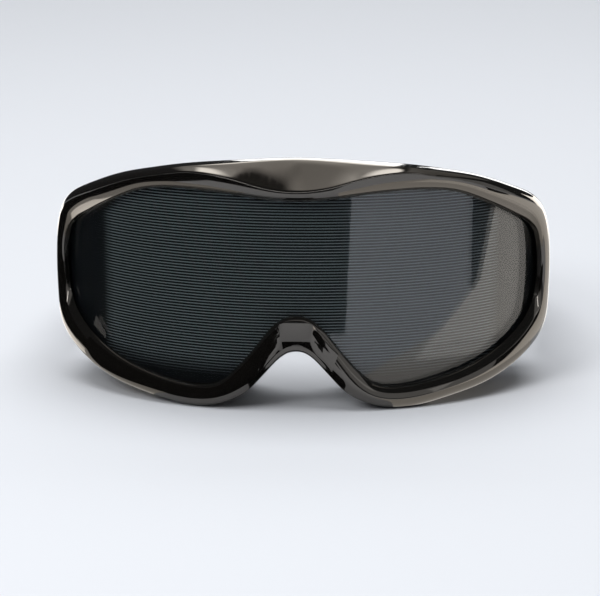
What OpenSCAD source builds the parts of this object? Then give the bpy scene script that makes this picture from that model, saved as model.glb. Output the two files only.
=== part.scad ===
// Wrap-round impairment goggles: a gloss frame with a tinted shield and a ribbed
// prism film behind it, a soft face skirt with a foam pad, and a head strap on
// two pivoting clips with sliding adjusters. Millimetres.
// +X is the wearer's left, -Y the way the wearer looks, +Z up. The goggles stand
// on z = 0: on the frame's two lower lobes, the foam pad and the strap's back edge.
// Depths are given from the front of the wrap; placed() then sets the origin at the
// middle of the whole length.

/* [Front frame] */
// Wrap radius along the edge of the lens opening
lens_wrap_r = 98; // [95:0.5:102]
// Wrap radius along the outer edge of the frame
outer_wrap_r = 105; // [102:0.5:110]
// Depth of the frame from its front surface to its rear edge
frame_depth = 19; // [18:0.5:20]
// How far the frame's rear edge draws in, as a share of its height
frame_draft = 0.09; // [0.06:0.01:0.1]
// Rings along the outline between two of its points
ring_steps = 3; // [2:1:4]

/* [Lens stack] */
// Thickness of the outer tinted shield
lens_t = 1.6; // [1.2:0.1:2]
// Depth of the shield behind the front edge of its opening
lens_recess = 2.2; // [1.8:0.1:2.6]
// Spacing of the prism ribs
rib_pitch = 1; // [0.8:0.1:2]
// Height of the prism ribs
rib_h = 0.35; // [0.2:0.05:0.5]
// Half angle of the ribbed sector, seen from the wrap's centre
rib_half_angle = 46; // [30:1:50]
// Base thickness of the prism film
film_t = 0.6; // [0.4:0.1:0.8]

/* [Face seal] */
// Depth of the face plane behind the frame's front, at the brow
face_y = 31.5; // [30:0.5:34]
// Radius of the face the seal lies on
face_r = 76; // [70:1:90]
// Thickness of the soft skirt's wall
skirt_t = 1.8; // [1.4:0.1:2.2]
// Width of the foam pad
foam_w = 10; // [8:0.5:11]
// Thickness of the foam pad
foam_t = 9; // [6:0.5:11]

/* [Strap pivot] */
// Distance of the pivot axis behind the frame's front
pivot_y = 78; // [76:1:80]
// Height of the pivot axis
pivot_z = 38; // [36:1:40]
// Radius of the pivot pin
pin_r = 2.45; // [2:0.05:3]
// Running clearance between the pin and the clip
pin_clearance = 0.05; // [0.02:0.01:0.1]
// How far the strap swings up from where it rests
swing = 55; // [40:1:60]

/* [Strap] */
// Width of the elastic strap
strap_w = 36; // [32:1:36]
// Thickness of the elastic strap
strap_t = 1.6; // [1.2:0.1:1.8]
// Distance of the strap's back from the frame's front
strap_reach = 238; // [225:1:250]
// Where the strap's straight runs end
run_end = 168; // [160:1:180]
// Where the sliders sit on the straight runs
slider_y = 120; // [118:1:124]
// Length of a slider along the strap
slider_l = 16; // [12:1:18]

/* [Hidden] */
$fn = 96;

// Half of the outline from the top centre, down the side and under the lobe to the
// nose. Each row: lens opening x and z, outer edge x and z, setback of the outer
// edge, crest's place between opening and outer edge, crest height.
half_outline = [
    [0, 71.0, 0, 84.0, 12, 0.30, 3.0],
    [11, 71.6, 13, 83.5, 11.5, 0.40, 3.0],
    [21.5, 73.0, 26, 82.9, 9.5, 0.68, 3.0],
    [32, 74.0, 38, 82.0, 6, 0.85, 2.9],
    [43, 74.0, 49, 80.2, 3.6, 0.74, 2.8],
    [53.5, 72.4, 60.5, 77.4, 3, 0.60, 2.6],
    [64, 67.8, 71.5, 72.9, 2.5, 0.55, 2.6],
    [74.5, 61.8, 81.2, 67.4, 2.5, 0.55, 2.6],
    [80.6, 56.2, 85.9, 60.2, 3, 0.50, 2.6],
    [82.7, 47.5, 87.7, 49, 3, 0.50, 2.6],
    [82.7, 36, 87.8, 34, 3, 0.50, 2.6],
    [80.3, 26.7, 86.3, 20.5, 3, 0.50, 2.6],
    [73.2, 19.0, 79, 12.0, 2.5, 0.50, 2.6],
    [62, 12.9, 66.5, 5.4, 2, 0.50, 2.6],
    [49, 9.4, 52.5, 2.0, 2, 0.50, 2.6],
    [37, 7.5, 38, -0.5, 2, 0.50, 2.4],
    [27.5, 8.3, 27, 0.6, 2, 0.50, 2.2],
    [21, 13.2, 17.5, 5.0, 2, 0.50, 1.8],
    [14.5, 20.7, 11.3, 11.3, 2, 0.45, 1.4],
    [8.9, 27.9, 6.4, 16.7, 2, 0.42, 1.2],
    [4, 31.7, 3, 19.2, 2, 0.42, 1.2],
    [0, 32.4, 0, 19.8, 2, 0.42, 1.2]];
half_count = len(half_outline);
nose_index = half_count - 1;
outline_count = 2*half_count - 2;

// Where things sit across the frame, from 0 at the opening to 1 at the outer edge
seat_side = 0.42;
seat_brow = 0.22;
lens_edge_gap = 0.05;
brow_setback = [3, 12];
foot_depth = 4;

// Gaps and sizes in the stack behind the shield, square to it
film_gap = 0.35;
gasket_gap = 0.2;
gasket_t = 1.3;
gasket_w = 0.36;

// Face seal
face_inset = 0.6;
face_drop = 4;
face_narrow = 0.925;
nose_relief = 8;
nose_relief_x = 16;
eye_x = 38;
eye_z = 42;
flange_t = 1.6;
seal_gap = 0.2;

// Vents: places along the outline and share of the skirt's roof or floor
brow_vent_span = [2, 4];
chin_vent_span = [14, 16];
brow_vent_share = [0.16, 0.8];
chin_vent_share = [0.1, 0.62];
vent_window = [8, 4.4, 9];
vent_slot = [1.5, 4.4, 9];
vent_cover_t = 1.6;
vent_filter_t = 2.5;
vent_gap = 0.25;

// Strap lug, by its distance from the centre plane and the wrap's front
lug_x = 84.6;
lug_t = 2.6;
lug_r = 10.5;
lug_front_y = 61;
lug_front_h = 26;
tongue = [1.3, 8, 14];
tongue_x = 85.6;

// Strap clip: boss, arm and head with the strap's slot
clip_x = 81.7;
clip_t = 2.5;
clip_r = 10.5;
arm_y = 90;
slot_y = [92.2, 96];
slot_margin = 0.9;
head_end_y = 100.5;
head_margin = 4;
head_corner = 2.5;

// Pivot pin, its washer, and the peg in its track that stops the swing
pin_head_r = 4.6;
pin_head_t = 0.9;
rivet_r = 3.4;
rivet_t = 0.7;
washer_r = 5;
washer_t = 0.8;
stop_peg_r = 1.1;
stop_track_r = 7.6;
stop_gap = 0.3;
stop_relief = 0.08;
stop_angle = 200;

// Strap fold round the clip's rear bar, and the run of two layers behind it
layer_gap = 0.3;
fold_r = 1.5;
fold_end_y = 102;
run_start = 112;
inner_run_x = 82;
outer_run_x = inner_run_x + strap_t + layer_gap;
tail_end_y = 166;
hem_l = 8;
strap_edge = 0.35;
arc_steps = 30;

// Sliders: bars across the strap on both sides of its two layers
slider_clear = 0.3;
slider_bar_t = 1.4;
slider_bar_l = 3;
slider_cheek = 3.2;
slider_corner = 1;

// The strap's back edge drops until it touches z = 0
drop_reach = strap_reach - pivot_y;
drop_angle = asin(pivot_z/norm([drop_reach, strap_w/2])) - atan(strap_w/2/drop_reach);

// Middle of the whole length, from the frame's crest to the strap's back
front_y = -half_outline[0][6];
back_y = pivot_y + drop_reach*cos(drop_angle) + strap_w/2*sin(drop_angle);
middle_y = (front_y + back_y)/2;

// Radii of the lens stack's surfaces, all about the wrap's centre
film_out_r = lens_wrap_r - lens_t - film_gap - rib_h;
film_in_r = film_out_r - film_t;
gasket_out_r = film_in_r - gasket_gap;
gasket_in_r = gasket_out_r - gasket_t;
stack_in_r = gasket_in_r - gasket_gap;

module placed() {
    translate([0, -middle_y, 0])
        children();
}

function mix(a, b, t) = a + (b - a)*t;
function clamp01(t) = min(1, max(0, t));
function wrap(x, r) = r - sqrt(r*r - x*x);

// Smooth closed outline through the rows and their mirror images
function mirrored(row) = [-row[0], row[1], -row[2], row[3], row[4], row[5], row[6]];
function outline_row(i) = let (k = (i + 2*outline_count) % outline_count)
    k < half_count ? half_outline[k] : mirrored(half_outline[outline_count - k]);
function smooth(a, b, c, d, t) =
    0.5*(2*b + (c - a)*t + (2*a - 5*b + 4*c - d)*t*t + (3*b - a - 3*c + d)*t*t*t);
function outline_at(u) = let (i = floor(u), t = u - i)
    smooth(outline_row(i - 1), outline_row(i), outline_row(i + 1), outline_row(i + 2), t);
function outline_rows(from, to, steps) =
    [for (i = [from*steps : to*steps]) outline_at(i/steps)];
rows = [for (i = [0 : outline_count*ring_steps - 1]) outline_at(i/ring_steps)];

// A point of the frame: t across it, d straight back from the wrap, side picks the
// wrap radius from the lens's (0) to the outer edge's (1)
function across(row, t) = [mix(row[0], row[2], t), mix(row[1], row[3], t)];
function spot(row, t, d, side, draft = 0) = let (p = across(row, t))
    [p.x,
     mix(wrap(p.x, lens_wrap_r), wrap(p.x, outer_wrap_r), side) + d,
     max(0, mix(p.y, eye_z, draft))];
function behind(x, r) = lens_wrap_r + lens_recess - sqrt(r*r - x*x);
function seat_spot(row, t, r) = let (p = across(row, t)) [p.x, behind(p.x, r), max(0, p.y)];
function scoop(row) = clamp01((row[4] - brow_setback[0])/(brow_setback[1] - brow_setback[0]));
function seat(row) = mix(seat_side, seat_brow, scoop(row));

// Moves an outline point inwards, towards the middle of its eye
function inward(p, w) = let (
        m = [max(-eye_x, min(eye_x, p.x)), eye_z],
        v = m - p)
    p + v*(w/norm(v));

// Face contour of the seal and its depth
function face_xz(row, w = 0) = let (
        p = across(row, face_inset),
        q = inward([p.x*face_narrow, max(0, p.y - face_drop)], w))
    [q.x, max(0, q.y)];
function face_depth(p) = face_y + p.x*p.x/(2*face_r)
    - (p.y < eye_z ? nose_relief*exp(-pow(p.x/nose_relief_x, 2)) : 0);
function face_spot(row, w, d) = let (p = face_xz(row, w)) [p.x, face_depth(p) + d, p.y];

// Closed ring and open strip through equal sections of points
module ring(sections) {
    n = len(sections);
    m = len(sections[0]);
    polyhedron(
        points = [for (s = sections) each s],
        faces = [for (i = [0 : n - 1], j = [0 : m - 1])
            each let (a = i*m, b = ((i + 1) % n)*m, k = (j + 1) % m)
                [[a + j, b + j, b + k], [a + j, b + k, a + k]]]);
}

module strip(sections) {
    n = len(sections);
    m = len(sections[0]);
    last = (n - 1)*m;
    polyhedron(
        points = [for (s = sections) each s],
        faces = concat(
            [for (i = [0 : n - 2], j = [0 : m - 1])
                each let (a = i*m, b = a + m, k = (j + 1) % m)
                    [[a + j, b + j, b + k], [a + j, b + k, a + k]]],
            [for (j = [1 : m - 2]) [0, j, j + 1]],
            [for (j = [1 : m - 2]) [last, last + j + 1, last + j]]));
}

// Front frame: the lip round the lens, the rabbet that seats it, the side wall, and
// the front from the outer edge over the crest back to the lip
lip_front = 0.3;
lip_back = lens_recess - 0.25;
edge_round = 0.6;
wall_step = 1;
// Places on the front from the crest (0) to the outer edge (1)
edge_place = 0.88;
brow_edge_place = 0.92;
slope_place = 0.62;
shoulder_place = 0.28;
// Depths there in the brow's scoop, the first one forwards from the outer edge
brow_roll = 2.2;
scoop_slope = 6;
scoop_shoulder = 1.4;
// Places from the lip (0) to the crest (1), with their shares of the crest's height
inner_places = [[0.6, 0.85], [0.22, 0.45]];

// The front from near the outer edge to the lip, lifted forwards by some distance
function front_line(row, lift = 0) = let (s = scoop(row), c = row[5], h = row[6], set = row[4])
    [spot(row, mix(c, 1, mix(edge_place, brow_edge_place, s)),
         mix(-edge_round/3, set - brow_roll, s) - lift, 1),
     spot(row, mix(c, 1, slope_place), mix(edge_round - 0.9*h, scoop_slope, s) - lift,
         mix(c, 1, slope_place)),
     spot(row, mix(c, 1, shoulder_place), mix(-0.96*h, scoop_shoulder, s) - lift,
         mix(c, 1, shoulder_place)),
     spot(row, c, -h - lift, c),
     spot(row, inner_places[0][0]*c, -inner_places[0][1]*h - lift, 0.5*c),
     spot(row, inner_places[1][0]*c, -inner_places[1][1]*h - lift, 0)];

function frame_section(row) = let (set = row[4]) concat(
    [spot(row, 0, lip_front, 0),
     spot(row, 0, lip_back, 0),
     spot(row, seat(row), lip_back, 0),
     seat_spot(row, seat(row), stack_in_r),
     spot(row, seat(row), frame_depth, 1, frame_draft),
     spot(row, 1, frame_depth, 1, frame_draft),
     spot(row, 1, min(frame_depth - wall_step, set + foot_depth), 1),
     spot(row, 1, set, 1)],
    front_line(row));

module front_frame() {
    color([0.05, 0.045, 0.04])
        placed()
            ring([for (row = rows) frame_section(row)]);
}

// Saddle over the frame's nose arch: a flat facet that leans out at its top, and
// two flanks that thin out down the arch, each with a long pocket
bridge_reach = 3;
bridge_gap = 0.06;
facet_half_w = 5.6;
facet_z = [23.8, 30.9];
facet_depth = [-1.6, -2.95];
facet_round = [0.1, 0.9];
flank_rise = 1;
flank_bevel = 0.4;
flank_end = 0.25;
flank_places = [[0.74, 0.62], [0.2, 0.1]];
pocket_ends = [[6.9, 27.4], [10.4, 21.6]];
pocket_r = 1.3;
pocket_floor = -1.5;

function at_height(row, z) = max(0.03, (row[1] - z)/(row[1] - row[3]));
function facet_spot(row, up, out, side) = let (z = mix(facet_z[0], facet_z[1], up))
    spot(row, at_height(row, z), mix(facet_depth[0], facet_depth[1], out), side);
function facet_profile(row) =
    [facet_spot(row, 0, 0, 0.7),
     facet_spot(row, facet_round[0], 3*facet_round[0], 0.6),
     facet_spot(row, facet_round[1], facet_round[1], 0.2),
     facet_spot(row, 1, 1, 0)];
function flank_profile(row, rise) = let (top = -row[6] - rise, bevel = flank_bevel*rise)
    [spot(row, flank_places[0][0], top + bevel, 0.7),
     spot(row, flank_places[0][1], top, 0.5),
     spot(row, flank_places[1][0], top, 0.2),
     spot(row, flank_places[1][1], top + bevel, 0.1)];
function bridge_section(row, away) = let (under = front_line(row, bridge_gap)) concat(
    [under[5], under[4], under[3], under[2], under[1]],
    abs(row[0]) < facet_half_w ? facet_profile(row)
        : flank_profile(row, mix(flank_rise, flank_end, pow(away, 3))));

module bridge_pocket() {
    translate([0, pocket_floor, 0])
        rotate([90, 0, 0])
            linear_extrude(5)
                hull()
                    for (p = pocket_ends)
                        translate(p)
                            circle(pocket_r, $fn = 32);
}

module nose_bridge() {
    steps = bridge_reach*ring_steps;
    color([0.1, 0.095, 0.09])
        placed()
            difference() {
                strip([for (i = [-steps : steps])
                    bridge_section(outline_at(nose_index + i/ring_steps), abs(i)/steps)]);
                bridge_pocket();
                mirror([1, 0, 0])
                    bridge_pocket();
            }
}

// Prism with the lens's outline, standing across the wrap
blank_back = 70;
blank_front = 10;
blank_h = 90;
module lens_outline(shrink) {
    translate([0, blank_back, 0])
        rotate([90, 0, 0])
            linear_extrude(blank_back + blank_front)
                polygon([for (row = rows) across(row, seat(row) - lens_edge_gap - shrink)]);
}

module wrapped_shell(r_out, r_in) {
    translate([0, lens_wrap_r + lens_recess, 0])
        difference() {
            cylinder(r = r_out, h = blank_h);
            translate([0, 0, -1])
                cylinder(r = r_in, h = blank_h + 2);
        }
}

module outer_lens() {
    color([0.12, 0.14, 0.16, 0.7])
        placed()
            intersection() {
                wrapped_shell(lens_wrap_r, lens_wrap_r - lens_t);
                lens_outline(0);
            }
}

// Prism film: a thin sheet with saw-tooth ribs on its front
rib_root = 0.1;
rib_valley = 0.04;
rib_z = [10, 74];
film_shrink = 0.04;
rib_count = floor((rib_z[1] - rib_z[0])/rib_pitch);

module film_ribs() {
    translate([0, lens_wrap_r + lens_recess, 0])
        rotate([0, 0, -90 - rib_half_angle])
            rotate_extrude(angle = 2*rib_half_angle)
                polygon(concat(
                    [[film_out_r - rib_root, rib_z[0]]],
                    [for (i = [0 : rib_count - 1])
                        each let (z = rib_z[0] + i*rib_pitch)
                            [[film_out_r + rib_valley, z],
                             [film_out_r + rib_h, z + rib_pitch/2]]],
                    [[film_out_r + rib_valley, rib_z[0] + rib_count*rib_pitch],
                     [film_out_r - rib_root, rib_z[0] + rib_count*rib_pitch]]));
}

module prism_film() {
    color([0.2, 0.23, 0.25, 0.6])
        placed()
            intersection() {
                union() {
                    wrapped_shell(film_out_r, film_in_r);
                    film_ribs();
                }
                lens_outline(film_shrink);
            }
}

// Gasket behind the film, round the edge of the lens stack
function gasket_section(row) = let (t = seat(row) - lens_edge_gap)
    [seat_spot(row, t - gasket_w, gasket_out_r),
     seat_spot(row, t - gasket_w, gasket_in_r),
     seat_spot(row, t, gasket_in_r),
     seat_spot(row, t, gasket_out_r)];

module lens_gasket() {
    color([0.08, 0.08, 0.08])
        placed()
            ring([for (row = rows) gasket_section(row)]);
}

// Soft skirt from inside the frame back to the face
skirt_inset = 0.12;
function skirt_wall(row, t, w) = let (
        p = spot(row, t, frame_depth, 1, frame_draft),
        q = inward([p.x, p.z], w))
    [q.x, p.y, max(0, q.y)];
function skirt_lip(row, t, w) = let (
        p = seat_spot(row, t, stack_in_r),
        q = inward([p.x, p.z], w))
    [q.x, behind(q.x, stack_in_r), max(0, q.y)];
function skirt_section(row) = let (t = seat(row) - skirt_inset)
    [skirt_lip(row, t, skirt_t),
     skirt_wall(row, t, skirt_t),
     face_spot(row, skirt_t, -flange_t),
     face_spot(row, foam_w, -flange_t),
     face_spot(row, foam_w, 0),
     face_spot(row, 0, 0),
     face_spot(row, 0, -flange_t),
     skirt_wall(row, t, 0),
     skirt_lip(row, t, 0)];

// A point of the skirt's roof or floor: share of the way back, depth inwards
function roof_spot(row, share, w) = let (t = seat(row) - skirt_inset)
    mix(skirt_wall(row, t, w), face_spot(row, w, -flange_t), share);

// A block standing in the skirt's wall at a place along the outline
module vent_block(place, share, size) {
    row = outline_at(place);
    at = roof_spot(row, (share[0] + share[1])/2, 0);
    translate(at)
        rotate([0, 0, asin(at.x/outer_wrap_r)])
            cube(size, center = true);
}

module vent_windows(span, share) {
    step = (span[1] - span[0])/2;
    for (place = [span[0] + step/4 : step*0.75 : span[1]])
        vent_block(place, share, vent_window);
}

module left_windows() {
    vent_windows(brow_vent_span, brow_vent_share);
    vent_windows(chin_vent_span, chin_vent_share);
}

module face_skirt() {
    color([0.1, 0.1, 0.1])
        placed()
            difference() {
                ring([for (row = rows) skirt_section(row)]);
                left_windows();
                mirror([1, 0, 0])
                    left_windows();
            }
}

// Louvred cover outside a vent's windows and foam filter inside them
function cover_section(row, share) =
    [roof_spot(row, share[0], -vent_gap),
     roof_spot(row, share[1], -vent_gap),
     roof_spot(row, share[1], -vent_gap - vent_cover_t),
     roof_spot(row, share[0], -vent_gap - vent_cover_t)];
function filter_section(row, share) =
    [roof_spot(row, share[0], skirt_t + vent_gap + vent_filter_t),
     roof_spot(row, share[1], skirt_t + vent_gap + vent_filter_t),
     roof_spot(row, share[1], skirt_t + vent_gap),
     roof_spot(row, share[0], skirt_t + vent_gap)];

module vent_cover(span, share) {
    slot_step = (span[1] - span[0])/9;
    color([0.06, 0.06, 0.06])
        placed()
            difference() {
                strip([for (row = outline_rows(span[0], span[1], ring_steps))
                    cover_section(row, share)]);
                for (place = [span[0] + slot_step : slot_step : span[1] - slot_step/2])
                    vent_block(place, share, vent_slot);
            }
}

module vent_filter(span, share) {
    color([0.16, 0.16, 0.17])
        placed()
            strip([for (row = outline_rows(span[0], span[1], ring_steps))
                filter_section(row, share)]);
}

module brow_vent_left() {
    vent_cover(brow_vent_span, brow_vent_share);
}

module chin_vent_left() {
    vent_cover(chin_vent_span, chin_vent_share);
}

module brow_filter_left() {
    vent_filter(brow_vent_span, brow_vent_share);
}

module chin_filter_left() {
    vent_filter(chin_vent_span, chin_vent_share);
}

// Crowned foam pad on the skirt's flange
foam_side = 0.2;
function foam_section(row) =
    [face_spot(row, foam_w, seal_gap),
     face_spot(row, foam_w - foam_side, foam_t*0.6),
     face_spot(row, foam_w*0.78, foam_t*0.9),
     face_spot(row, foam_w/2, foam_t),
     face_spot(row, foam_w*0.22, foam_t*0.9),
     face_spot(row, foam_side, foam_t*0.6),
     face_spot(row, 0, seal_gap)];

module face_foam() {
    color([0.2, 0.2, 0.21])
        placed()
            ring([for (row = rows) foam_section(row)]);
}

// Stands a flat outline drawn in y and z at a distance x from the centre plane
module plate_at(x, t) {
    translate([x, 0, 0])
        rotate([90, 0, 90])
            linear_extrude(t)
                children();
}

module rod_at(x, length, r) {
    translate([x, pivot_y, pivot_z])
        rotate([0, 90, 0])
            cylinder(r = r, h = length);
}

// Turns a piece of the strap down to where the strap rests
module on_strap() {
    translate([0, pivot_y, pivot_z])
        rotate([-drop_angle, 0, 0])
            translate([0, -pivot_y, -pivot_z])
                children();
}

// Ear on the frame's side that carries the pivot pin and the stop peg
module strap_lug_left() {
    color([0.06, 0.055, 0.05])
        placed()
            difference() {
                union() {
                    rod_at(lug_x, lug_t, lug_r);
                    plate_at(lug_x, lug_t)
                        polygon([[lug_front_y, pivot_z - lug_front_h/2],
                            [pivot_y, pivot_z - lug_r],
                            [pivot_y, pivot_z + lug_r],
                            [lug_front_y, pivot_z + lug_front_h/2]]);
                    translate([tongue_x, lug_front_y - tongue.y, pivot_z - tongue.z/2])
                        cube(tongue + [0, 1, 0]);
                    translate([clip_x + 0.2, pivot_y + stop_track_r*cos(stop_angle),
                            pivot_z + stop_track_r*sin(stop_angle)])
                        rotate([0, 90, 0])
                            cylinder(r = stop_peg_r, h = lug_x - clip_x);
                }
                rod_at(lug_x - 1, lug_t + 2, pin_r);
            }
}

// Riveted pin with its head outside and its washer inside
module pivot_pin_left() {
    pin_start = clip_x - washer_t - 2*pin_clearance;
    color([0.75, 0.75, 0.77])
        placed()
            union() {
                rod_at(pin_start - rivet_t, lug_x + lug_t - pin_start + rivet_t + 0.1, pin_r);
                rod_at(pin_start - rivet_t, rivet_t, rivet_r);
                rod_at(lug_x + lug_t, pin_head_t, pin_head_r);
            }
}

module pivot_washer_left() {
    color([0.7, 0.7, 0.72])
        placed()
            difference() {
                rod_at(clip_x - washer_t - pin_clearance, washer_t, washer_r);
                rod_at(clip_x - washer_t - 1, washer_t + 2, pin_r + pin_clearance);
            }
}

// Track in the clip's boss that the stop peg runs along
module stop_track() {
    track_w = 2*(stop_peg_r + stop_gap);
    first = stop_angle + drop_angle;
    translate([clip_x - 1, pivot_y, pivot_z])
        rotate([90, 0, 90]) {
            rotate([0, 0, first - swing])
                rotate_extrude(angle = swing)
                    translate([stop_track_r - track_w/2, 0])
                        square([track_w, clip_t + 2]);
            for (a = [first - swing, first])
                translate([stop_track_r*cos(a), stop_track_r*sin(a), 0])
                    cylinder(r = track_w/2 + stop_relief, h = clip_t + 2);
        }
}

module strap_clip_left() {
    half_h = strap_w/2 + head_margin;
    slot_h = strap_w + 2*slot_margin;
    color([0.07, 0.07, 0.07])
        placed()
            on_strap()
                difference() {
                    union() {
                        rod_at(clip_x, clip_t, clip_r);
                        plate_at(clip_x, clip_t)
                            polygon([[pivot_y + 2, pivot_z - clip_r + 0.2],
                                [arm_y, pivot_z - half_h],
                                [head_end_y - head_corner, pivot_z - half_h],
                                [head_end_y, pivot_z - half_h + head_corner],
                                [head_end_y, pivot_z + half_h - head_corner],
                                [head_end_y - head_corner, pivot_z + half_h],
                                [arm_y, pivot_z + half_h],
                                [pivot_y + 2, pivot_z + clip_r - 0.2]]);
                    }
                    rod_at(clip_x - 1, clip_t + 2, pin_r + pin_clearance);
                    stop_track();
                    translate([clip_x - 1, slot_y[0], pivot_z - slot_h/2])
                        cube([clip_t + 2, slot_y[1] - slot_y[0], slot_h]);
                }
}

// Flat band on edge along a path; each point of the path: x, y, thickness
function path_across(path, i) = let (
        a = path[max(0, i - 1)],
        b = path[min(len(path) - 1, i + 1)],
        v = [b.x - a.x, b.y - a.y])
    [v.y, -v.x]/norm(v);
function band_spot(path, i, side, z) = let (q = path_across(path, i)*side)
    [path[i].x + q.x, path[i].y + q.y, z];
function band_section(path, i) = let (
        h = path[i].z/2, e = strap_edge,
        low = pivot_z - strap_w/2, high = pivot_z + strap_w/2)
    [band_spot(path, i, e - h, low), band_spot(path, i, -h, low + e),
     band_spot(path, i, -h, high - e), band_spot(path, i, e - h, high),
     band_spot(path, i, h - e, high), band_spot(path, i, h, high - e),
     band_spot(path, i, h, low + e), band_spot(path, i, h - e, low)];

module band(path) {
    strip([for (i = [0 : len(path) - 1]) band_section(path, i)]);
}

loop_path = concat(
    [[inner_run_x, run_start, strap_t], [inner_run_x, (run_start + run_end)/2, strap_t]],
    [for (i = [0 : arc_steps]) let (a = 180*i/arc_steps)
        [inner_run_x*cos(a), run_end + (strap_reach - strap_t/2 - run_end)*sin(a), strap_t]],
    [[-inner_run_x, (run_start + run_end)/2, strap_t], [-inner_run_x, run_start, strap_t]]);

module strap() {
    color([0.05, 0.05, 0.055])
        placed()
            on_strap()
                band(loop_path);
}

// Strap's end: forward inside the clip, out through its slot and back outside it
fold_in_x = clip_x - layer_gap - strap_t/2;
fold_out_x = clip_x + clip_t + layer_gap + strap_t/2;
fold_y = slot_y[1] - layer_gap - strap_t/2;
function ease(t) = t*t*(3 - 2*t);
function fold_arc(x, from, to) =
    [for (a = [from, (from + to)/2, to])
        [x + fold_r*cos(a), fold_y + fold_r + fold_r*sin(a), strap_t]];
end_path = concat(
    [for (t = [0, 0.25, 0.5, 0.75, 1])
        [mix(inner_run_x, fold_in_x, ease(t)), mix(run_start, fold_end_y, t), strap_t]],
    fold_arc(fold_in_x + fold_r, 180, 270),
    fold_arc(fold_out_x - fold_r, 270, 360),
    [for (t = [0, 0.25, 0.5, 0.75, 1])
        [mix(fold_out_x, outer_run_x, ease(t)), mix(fold_end_y, run_start, t), strap_t]],
    [[outer_run_x, tail_end_y - hem_l - 1, strap_t],
     [outer_run_x + strap_t/2, tail_end_y - hem_l, 2*strap_t],
     [outer_run_x + strap_t/2, tail_end_y, 2*strap_t]]);

module strap_end_left() {
    color([0.06, 0.06, 0.065])
        placed()
            on_strap()
                band(end_path);
}

// Slider: cheeks above and below the strap, end bars outside, middle bar inside
module strap_slider_left() {
    in_x = inner_run_x - strap_t/2 - slider_clear;
    out_x = outer_run_x + strap_t/2 + slider_clear;
    half_gap = strap_w/2 + 0.4;
    c = slider_corner;
    x_low = in_x - slider_bar_t;
    x_high = out_x + slider_bar_t;
    y_low = slider_y;
    y_high = slider_y + slider_l;
    bar_h = 2*half_gap + 0.2;
    color([0.08, 0.08, 0.08])
        placed()
            on_strap()
                union() {
                    for (z = [pivot_z - half_gap - slider_cheek, pivot_z + half_gap])
                        translate([0, 0, z])
                            linear_extrude(slider_cheek)
                                polygon([[x_low + c, y_low], [x_high - c, y_low],
                                    [x_high, y_low + c], [x_high, y_high - c],
                                    [x_high - c, y_high], [x_low + c, y_high],
                                    [x_low, y_high - c], [x_low, y_low + c]]);
                    for (y = [y_low + c, y_high - c - slider_bar_l])
                        translate([out_x, y, pivot_z - bar_h/2])
                            cube([slider_bar_t, slider_bar_l, bar_h]);
                    translate([x_low, (y_low + y_high - slider_bar_l)/2, pivot_z - bar_h/2])
                        cube([slider_bar_t, slider_bar_l, bar_h]);
                }
}

// Right-hand pieces are mirror images of the left-hand ones
module brow_vent_right() {
    mirror([1, 0, 0]) brow_vent_left();
}

module chin_vent_right() {
    mirror([1, 0, 0]) chin_vent_left();
}

module brow_filter_right() {
    mirror([1, 0, 0]) brow_filter_left();
}

module chin_filter_right() {
    mirror([1, 0, 0]) chin_filter_left();
}

module strap_lug_right() {
    mirror([1, 0, 0]) strap_lug_left();
}

module pivot_pin_right() {
    mirror([1, 0, 0]) pivot_pin_left();
}

module pivot_washer_right() {
    mirror([1, 0, 0]) pivot_washer_left();
}

module strap_clip_right() {
    mirror([1, 0, 0]) strap_clip_left();
}

module strap_end_right() {
    mirror([1, 0, 0]) strap_end_left();
}

module strap_slider_right() {
    mirror([1, 0, 0]) strap_slider_left();
}

front_frame();
nose_bridge();
outer_lens();
prism_film();
lens_gasket();
face_skirt();
face_foam();
brow_vent_left();
brow_vent_right();
chin_vent_left();
chin_vent_right();
brow_filter_left();
brow_filter_right();
chin_filter_left();
chin_filter_right();
strap_lug_left();
strap_lug_right();
pivot_pin_left();
pivot_pin_right();
pivot_washer_left();
pivot_washer_right();
strap_clip_left();
strap_clip_right();
strap();
strap_end_left();
strap_end_right();
strap_slider_left();
strap_slider_right();
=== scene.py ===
"""Wrap-round impairment goggles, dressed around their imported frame."""

import math

import bmesh
import bpy
from mathutils import Matrix, Vector


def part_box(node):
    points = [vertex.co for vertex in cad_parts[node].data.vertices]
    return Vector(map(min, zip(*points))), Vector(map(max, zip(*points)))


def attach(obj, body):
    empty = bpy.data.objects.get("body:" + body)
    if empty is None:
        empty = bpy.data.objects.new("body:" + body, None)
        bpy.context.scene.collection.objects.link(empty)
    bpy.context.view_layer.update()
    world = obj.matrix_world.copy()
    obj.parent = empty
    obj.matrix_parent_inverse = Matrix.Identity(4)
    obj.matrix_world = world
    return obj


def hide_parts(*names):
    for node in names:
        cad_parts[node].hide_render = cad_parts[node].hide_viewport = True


bl_info = {
    "name": "Impairment Goggles",
    "version": (1, 0, 0),
    "blender": (4, 5, 0),
    "location": "3D View > Sidebar > Goggles",
    "description": "Builds wrap-round goggles with a tinted shield and a ribbed prism film",
    "category": "Add Mesh",
}

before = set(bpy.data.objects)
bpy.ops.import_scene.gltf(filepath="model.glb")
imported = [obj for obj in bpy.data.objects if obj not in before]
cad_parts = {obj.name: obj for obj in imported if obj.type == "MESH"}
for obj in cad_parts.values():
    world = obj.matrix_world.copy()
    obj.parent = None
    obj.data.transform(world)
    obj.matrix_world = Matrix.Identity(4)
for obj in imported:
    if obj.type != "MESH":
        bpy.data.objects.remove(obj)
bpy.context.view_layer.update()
MM = 0.001
SIDES = {"left": 1, "right": -1}

# The photograph's camera, and the point of the goggles in the middle of its picture
AIM = Vector((1.35, -118.0, 38.9)) * MM
CAMERA_AZIMUTH = math.radians(2.5)
CAMERA_ELEVATION = math.radians(12)
CAMERA_DISTANCE = 700 * MM
CAMERA_LENS = 126
SENSOR = 36

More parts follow.
